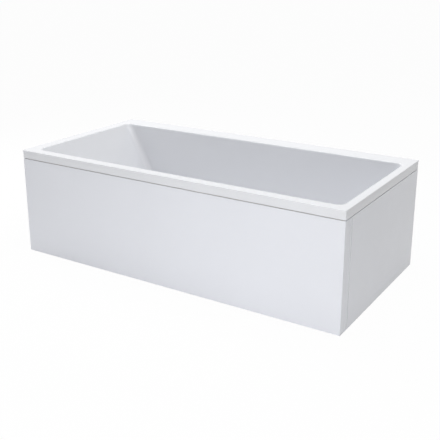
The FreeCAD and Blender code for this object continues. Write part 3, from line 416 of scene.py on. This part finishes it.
def lathe(profile_at, sides, closed=False):
    """A profile of (radius, height) pairs carried round Z; it may change with the angle."""
    rows = [profile_at(math.tau * side / sides) for side in range(sides)]
    count = len(rows[0])
    points = []
    for side, row in enumerate(rows):
        angle = math.tau * side / sides
        points += [(radius * math.cos(angle), radius * math.sin(angle), height) for radius, height in row]
    faces = []
    for side in range(sides):
        here = side * count
        there = (side + 1) % sides * count
        for index in range(count if closed else count - 1):
            after = (index + 1) % count
            faces.append((here + index, there + index, there + after, here + after))
    if not closed:
        faces.append([side * count for side in reversed(range(sides))])
        faces.append([side * count + count - 1 for side in range(sides)])
    return points, faces


THREAD_SIDES = 24
# The foot, the two edges of the crest and the other foot of a thread, as shares of its pitch.
THREAD_PROFILE = (0, 0.42, 0.58, 1)
# The feet lie inside the core, at this share of its radius.
THREAD_FOOT = 0.98
# The thread starts this many pitches above the core's low end.
THREAD_START = 0.7
# The core's chamfer, as a share of the thread's depth.
CORE_CHAMFER = 0.4
# A tip ends blunt, with this share of its radius left.
TIP_LEFT = 0.12
TIP_RINGS = 12


def thread(low, high, crest, root, pitch, tip=0):
    """A helical thread on a core, from a low to a high height; the last stretch, the tip, tapers."""
    def narrowed(height):
        return 1 if high - height >= tip else max((high - height) / tip, TIP_LEFT)

    def core(_angle):
        chamfer = CORE_CHAMFER * (crest - root)
        body = [(root - chamfer, low), (root, low + chamfer)]
        if not tip:
            return body + [(root, high - chamfer), (root - chamfer, high)]
        heights = [high - tip + tip * ring / TIP_RINGS for ring in range(TIP_RINGS + 1)]
        return body + [(root * narrowed(height), height) for height in heights]

    points = []
    faces = []
    start = low + THREAD_START * pitch
    steps = int((high - start) / pitch * THREAD_SIDES) - THREAD_SIDES
    foot = root * THREAD_FOOT
    for step in range(steps + 1):
        angle = math.tau * step / THREAD_SIDES
        fade = min(1, step / THREAD_SIDES, (steps - step) / THREAD_SIDES)
        ridge = root + (crest - root) * fade
        for part, radius in zip(THREAD_PROFILE, (foot, ridge, ridge, foot)):
            height = start + pitch * (step / THREAD_SIDES + part)
            across = radius * narrowed(height)
            points.append((across * math.cos(angle), across * math.sin(angle), height))
    row = len(THREAD_PROFILE)
    for step in range(steps):
        here = row * step
        there = here + row
        faces += [(here + part, there + part, there + part + 1, here + part + 1) for part in range(row - 1)]
    core_points, core_faces = lathe(core, THREAD_SIDES)
    count = len(points)
    return points + core_points, faces + [[count + index for index in face] for face in core_faces]


def hexagon_nut(low, high, corner, bore):
    """A nut with both faces chamfered by a cone, and a chamfered bore."""
    half_side = math.pi / 6
    chamfer_angle = math.pi / 6
    flat = corner * math.cos(half_side)
    washer = 0.96 * flat
    lead = 0.06 * bore
    sides = 72

    def profile(angle):
        outer = flat / math.cos((angle + half_side) % (2 * half_side) - half_side)
        drop = (outer - washer) * math.tan(chamfer_angle)
        return [
            (bore + lead, low), (bore, low + lead), (bore, high - lead), (bore + lead, high),
            (washer, high), (outer, high - drop), (outer, low + drop), (washer, low)]

    return lathe(profile, sides, closed=True)


def crossed_head(radius, low, high):
    """A pan head that faces down, with a cross recess in its crown."""
    arm = 0.56 * radius
    half_width = 0.13 * radius
    soft = 0.05 * radius
    depth = 0.62 * (high - low)
    shallower = 0.4 / radius
    crown_fall = 0.75 * (high - low)
    crown_power = 6
    rings = 26
    sides = 96
    under_head = 0.2 * radius

    def recess(across, angle):
        x = abs(across * math.cos(angle))
        y = abs(across * math.sin(angle))
        within = max(min(half_width - x, arm - y), min(half_width - y, arm - x))
        return depth * min(max(within / soft + 0.5, 0), 1) * (1 - shallower * across)

    def profile(angle):
        crown = []
        for ring in range(1, rings + 1):
            share = ring / rings
            across = radius * share
            crown.append((across, low + crown_fall * share ** crown_power + recess(across, angle)))
        return crown + [(radius, high), (under_head, high)]

    return lathe(profile, sides)


BEAD_SIDES = 8
BEAD_RINGS_PER_WAVE = 4
# How far the ripples of a bead stray from an even spacing, as an angle in radians.
BEAD_STRAY = 0.4


def bead(path, radius, ripple, wave):
    """A closed bead of weld or resin along a loop of points, with ripples a wave apart."""
    loop = []
    for start, end in zip(path, path[1:] + path[:1]):
        start = Vector(start)
        end = Vector(end)
        steps = max(2, round((end - start).length / (wave / BEAD_RINGS_PER_WAVE)))
        loop += [start.lerp(end, step / steps) for step in range(steps)]
    middle = sum(loop, Vector()) / len(loop)
    flat = (loop[1] - loop[0]).cross(middle - loop[0]).normalized()
    points = []
    for index, point in enumerate(loop):
        along = (loop[(index + 1) % len(loop)] - loop[index - 1]).normalized()
        outward = along.cross(flat).normalized()
        phase = math.tau * index / BEAD_RINGS_PER_WAVE + BEAD_STRAY * math.sin(index)
        reach = radius * (1 + ripple * math.sin(phase))
        for side in range(BEAD_SIDES):
            turn = math.tau * side / BEAD_SIDES
            points.append(point + reach * (math.cos(turn) * outward + math.sin(turn) * flat))
    faces = []
    for index in range(len(loop)):
        here = index * BEAD_SIDES
        there = (index + 1) % len(loop) * BEAD_SIDES
        for side in range(BEAD_SIDES):
            after = (side + 1) % BEAD_SIDES
            faces.append((here + side, there + side, there + after, here + after))
    return points, faces


# Where the middle one of a cut corner's three points lies, as a share of the cut from both sides.
CORNER_MIDDLE = 0.3


def cut_corner(x, y, inward_x, inward_y, cut):
    """The three points that a corner becomes when it is cut off in two steps."""
    middle = cut * CORNER_MIDDLE
    return [
        (x, y + inward_y * cut),
        (x + inward_x * middle, y + inward_y * middle),
        (x + inward_x * cut, y)]


def rectangle_loop(axis, at, low, high, corner):
    """A rectangle's outline square to an axis, with its corners cut off in two steps."""
    ends = (
        (low[0], low[1], 1, 1),
        (high[0], low[1], -1, 1),
        (high[0], high[1], -1, -1),
        (low[0], high[1], 1, -1))
    outline = []
    for index, end in enumerate(ends):
        cut = cut_corner(*end, corner)
        outline += cut if index % 2 == 0 else cut[::-1]
    placed = []
    for first, second in outline:
        point = [first, second]
        point.insert(axis, at)
        placed.append(tuple(point))
    return placed


# ---------------------------------------------------------------- fasteners

SAME_POINT = 0.000001
# Heights or radii that differ by less than a hair count as the same.
HAIR = 0.00002


def solids_of(node):
    """The separate solids of a node, each as its points, in the order of the node's own points."""
    copy = bmesh.new()
    copy.from_mesh(frame["nodes"][node].data)
    bmesh.ops.remove_doubles(copy, verts=copy.verts, dist=SAME_POINT)
    waiting = set(copy.verts)
    solids = []
    for first in copy.verts:
        if first not in waiting:
            continue
        waiting.remove(first)
        front = [first]
        found = []
        while front:
            corner = front.pop()
            found.append(corner.co.copy())
            near = {edge.other_vert(corner) for edge in corner.link_edges} & waiting
            waiting -= near
            front += near
        solids.append(found)
    copy.free()
    return solids


def turned_solids(node, axis):
    """Each turned solid of a node: its place, its low and high end, and its (radius, height) pairs."""
    turn = Vector(axis).to_track_quat("Z", "Y").to_matrix()
    for points in solids_of(node):
        local = [turn.transposed() @ point for point in points]
        centre = [(min(p[side] for p in local) + max(p[side] for p in local)) / 2 for side in (0, 1)]
        place = Matrix.Translation(turn @ Vector((*centre, 0))) @ turn.to_4x4()
        heights = [p.z for p in local]
        pairs = [(math.hypot(p.x - centre[0], p.y - centre[1]), p.z) for p in local]
        yield place, min(heights), max(heights), pairs


UP = (0, 0, 1)
# The foot wall leans outwards to its rim, so what is screwed into it points down a little.
FOOT_SLOPE = math.radians(7)
INTO_FOOT_WALL = (math.cos(FOOT_SLOPE), 0, -math.sin(FOOT_SLOPE))
ROD_PITCH = 0.0015
ROD_THREAD_DEPTH = 0.0009
# The core of a screw, as a share of its outer radius.
SCREW_CORE = 0.72


def screws(node, axis, pitch, tip):
    """Screws with crossed pan heads and real threads, in the place of a node's plain ones."""
    shape = Shape()
    for place, low, high, pairs in turned_solids(node, axis):
        head = max(radius for radius, _ in pairs)
        shank = max(radius for radius, height in pairs if high - height < HAIR)
        head_top = max(height for radius, height in pairs if head - radius < HAIR)
        shape.add(*crossed_head(head, low, head_top), place)
        shape.add(*thread(head_top - HAIR, high, shank, shank * SCREW_CORE, pitch, tip), place)
    shape.make(f"{node}_threaded", "bath", "zinc_steel", node)


def leg_rods():
    """The four legs, threaded over their whole length; each moves with its own foot."""
    for side in ("front", "back"):
        for end in ("head", "foot"):
            node = f"leg_rod_{side}_{end}"
            shape = Shape()
            for place, low, high, pairs in turned_solids(node, UP):
                crest = max(radius for radius, _ in pairs)
                shape.add(*thread(low, high, crest, crest - ROD_THREAD_DEPTH, ROD_PITCH), place)
            shape.make(f"{node}_threaded", f"foot_{side}_{end}", "zinc_steel", node)


def leg_nuts():
    """The nuts above and below the rails, chamfered and bored as wide as the plain ones."""
    shape = Shape()
    for place, low, high, pairs in turned_solids("leg_nuts", UP):
        radii = [radius for radius, _ in pairs]
        shape.add(*hexagon_nut(low, high, max(radii), min(radii)), place)
    shape.make("leg_nuts_chamfered", "bath", "zinc_steel", "leg_nuts")


def trap_nut():
    """The trap's collar with its grip ribs."""
    low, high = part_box("trap_nut")
    middle = (low + high) / 2
    outer = (high.x - low.x) / 2
    bore = 0.0271
    groove = 0.0014
    edge = 0.0012
    rim = outer - edge - groove
    ribs = 30
    roundness = 0.5
    sides = 360

    def profile(angle):
        dip = groove * max(0, math.sin(ribs * angle)) ** roundness
        return [
            (bore, low.z), (bore, high.z), (rim, high.z), (outer - dip, high.z - edge),
            (outer - dip, low.z + edge), (rim, low.z)]

    shape = Shape()
    shape.add(*lathe(profile, sides, closed=True), Matrix.Translation((middle.x, middle.y, 0)))
    shape.make("trap_nut_ribbed", "bath", "pipe_plastic", "trap_nut")


def corner_strip():
    """The strip between the panels, its outer edges eased so that its joints show as fine grooves."""
    low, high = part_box("corner_strip")
    ease = 0.0016
    wall = 0.0015

    def outline(inset, cut):
        left = low.x + inset
        right = high.x - inset
        front = low.y + inset
        back = high.y - inset
        return [
            (left, front),
            *reversed(cut_corner(right, front, -1, 1, cut)),
            *cut_corner(right, back, -1, -1, cut),
            (left, back)]

    rings = (outline(0, ease), outline(wall, wall))
    points = [(x, y, z) for z in (low.z, high.z) for ring in rings for x, y in ring]
    count = len(rings[0])
    faces = []
    for here in range(count):
        after = (here + 1) % count
        low_out, low_in, high_out, high_in = range(here, here + 4 * count, count)
        low_out_after, low_in_after, high_out_after, high_in_after = range(after, after + 4 * count, count)
        faces.append((low_out, low_out_after, high_out_after, high_out))
        faces.append((low_in_after, low_in, high_in, high_in_after))
        faces.append((low_out_after, low_out, low_in, low_in_after))
        faces.append((high_out, high_out_after, high_in_after, high_in))
    shape = Shape()
    shape.add(points, faces)
    shape.make("corner_strip_eased", "bath", "panel_acrylic", "corner_strip")


# ---------------------------------------------------------------- welds and bonding

WELD_RADIUS = 0.0019
WELD_RIPPLE = 0.14
WELD_WAVE = 0.0032
WELD_CORNER = 0.0015
WELDED_RAILS = (
    "frame_rail_head", "frame_rail_foot",
    "frame_cross_head", "frame_cross_middle", "frame_cross_foot")


def frame_welds():
    """Beads round both ends of each rail that runs from front to back, and round the foot of each post."""
    shape = Shape()
    for rail in WELDED_RAILS:
        low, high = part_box(rail)
        for at in (low.y, high.y):
            loop = rectangle_loop(1, at, (low.x, low.z), (high.x, high.z), WELD_CORNER)
            shape.add(*bead(loop, WELD_RADIUS, WELD_RIPPLE, WELD_WAVE))
    for side in ("front", "back"):
        for end in ("head", "foot"):
            low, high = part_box(f"frame_post_{side}_{end}")
            loop = rectangle_loop(2, low.z, (low.x, low.y), (high.x, high.y), WELD_CORNER)
            shape.add(*bead(loop, WELD_RADIUS, WELD_RIPPLE, WELD_WAVE))
    shape.make("frame_welds", "bath", "frame_paint", sharp=SOFT)


def board_bond():
    """The fillet of resin that holds the base board to the floor of the basin."""
    low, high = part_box("base_board")
    below_top = 0.002
    corner = 0.012
    radius = 0.0055
    ripple = 0.1
    wave = 0.022
    loop = rectangle_loop(2, high.z - below_top, (low.x, low.y), (high.x, high.y), corner)
    shape = Shape()
    shape.add(*bead(loop, radius, ripple, wave))
    shape.make("board_bond", "bath", "bath_acrylic", sharp=SOFT, surface=RESIN)


leg_rods()
leg_nuts()
screws("board_screws", UP, pitch=0.0018, tip=0.006)
screws("wall_bracket_screws", UP, pitch=0.0018, tip=0.005)
screws("overflow_screws", INTO_FOOT_WALL, pitch=0.0008, tip=0)
trap_nut()
corner_strip()
frame_welds()
board_bond()

# ---------------------------------------------------------------- floor and light

PURE_WHITE = (1, 1, 1, 1)
WORLD_LIGHT = 0.26
FLOOR_REACH = 40
FLOOR_GREY = (0.88, 0.88, 0.88, 1)
FLOOR_WHITE_SHARE = 0.97


def seen_white(tree, plain, white, white_share, output):
    """The white shader for the camera and for reflections, and the plain one for all other rays.

    With a share of white under 1, some of the plain shader still shows, and with it the shadow on it.
    """
    path = tree.nodes.new("ShaderNodeLightPath")
    seen = path.outputs["Is Camera Ray"]
    for ray in ("Is Glossy Ray", "Is Transmission Ray"):
        either = tree.nodes.new("ShaderNodeMath")
        either.operation = "MAXIMUM"
        tree.links.new(seen, either.inputs[0])
        tree.links.new(path.outputs[ray], either.inputs[1])
        seen = either.outputs["Value"]
    share = tree.nodes.new("ShaderNodeMath")
    share.operation = "MULTIPLY"
    share.inputs[1].default_value = white_share
    tree.links.new(seen, share.inputs[0])
    mix = tree.nodes.new("ShaderNodeMixShader")
    tree.links.new(share.outputs["Value"], mix.inputs["Fac"])
    tree.links.new(plain.outputs[0], mix.inputs[1])
    tree.links.new(white.outputs[0], mix.inputs[2])
    tree.links.new(mix.outputs["Shader"], tree.nodes.new(output).inputs["Surface"])


def floor():
    """A wide pale floor that keeps the bath's soft shadow."""
    reach = FLOOR_REACH
    corners = [(-reach, -reach, 0), (reach, -reach, 0), (reach, reach, 0), (-reach, reach, 0)]
    mesh = bpy.data.meshes.new("floor")
    mesh.from_pydata(corners, [], [(0, 1, 2, 3)])
    sheet = bpy.data.objects.new("floor", mesh)
    bpy.context.scene.collection.objects.link(sheet)
    made = bpy.data.materials.new("floor_finish")
    made.use_nodes = True
    tree = made.node_tree
    tree.nodes.clear()
    plain = tree.nodes.new("ShaderNodeBsdfDiffuse")
    plain.inputs["Color"].default_value = FLOOR_GREY
    white = tree.nodes.new("ShaderNodeEmission")
    white.inputs["Strength"].default_value = 1
    seen_white(tree, plain, white, FLOOR_WHITE_SHARE, "ShaderNodeOutputMaterial")
    mesh.materials.append(made)
    sheet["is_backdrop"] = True


def studio():
    """A white background and even light from all round."""
    world = bpy.data.worlds.new("studio")
    bpy.context.scene.world = world
    world.use_nodes = True
    tree = world.node_tree
    tree.nodes.clear()
    plain = tree.nodes.new("ShaderNodeBackground")
    plain.inputs["Strength"].default_value = WORLD_LIGHT
    white = tree.nodes.new("ShaderNodeBackground")
    white.inputs["Strength"].default_value = 1
    for background in (plain, white):
        background.inputs["Color"].default_value = PURE_WHITE
    seen_white(tree, plain, white, 1, "ShaderNodeOutputWorld")


def soft_box(name, place, aim, width, height, power):
    """A rectangular lamp at a place, aimed at a point, with its power in watts."""
    lamp = bpy.data.lights.new(name, "AREA")
    lamp.shape = "RECTANGLE"
    lamp.size = width
    lamp.size_y = height
    lamp.energy = power
    holder = bpy.data.objects.new(name, lamp)
    bpy.context.scene.collection.objects.link(holder)
    holder.location = place
    holder.rotation_euler = (Vector(aim) - Vector(place)).to_track_quat("-Z", "Y").to_euler()
    holder.visible_camera = False


floor()
studio()
soft_box("top_light", (0.5, 0.2, 2.6), aim=(0.2, 0, 0.4), width=3.0, height=2.2, power=45)
soft_box("head_light", (-2.4, 0.1, 1.6), aim=(0, 0, 0.4), width=1.5, height=1.8, power=34)
soft_box("low_front_light", (0.7, -2.0, 0.15), aim=(0.25, 0, 0.2), width=2.0, height=0.3, power=12)
soft_box("high_front_light", (0.3, -2.6, 2.3), aim=(0.1, 0.2, 0.4), width=2.4, height=1.0, power=5.5)

# ---------------------------------------------------------------- camera

# Focal length and width of the picture's plane, in millimetres.
LENS = 60.96
SENSOR = 36
CAMERA_PLACE = (1.6585, -2.5940, 1.2859)
# Degrees: the turn from looking straight back, towards the head, and the tilt down.
CAMERA_TURN = 32.254
CAMERA_TILT = 17.144
# As a share of the picture's width.
CAMERA_SHIFT = -0.08


def camera():
    """The camera that looks from the front right corner, as in the photo."""
    data = bpy.data.cameras.new("camera")
    data.sensor_width = SENSOR
    data.lens = LENS
    data.shift_y = CAMERA_SHIFT
    holder = bpy.data.objects.new("camera", data)
    bpy.context.scene.collection.objects.link(holder)
    holder.location = CAMERA_PLACE
    holder.rotation_euler = (math.radians(90 - CAMERA_TILT), 0, math.radians(CAMERA_TURN))
    bpy.context.scene.camera = holder


camera()
bpy.context.scene.view_settings.view_transform = "Standard"

boxes = {"cad": CAD_BOX, "visual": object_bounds()}
{name: [list(corner) for corner in box] for name, box in boxes.items()}
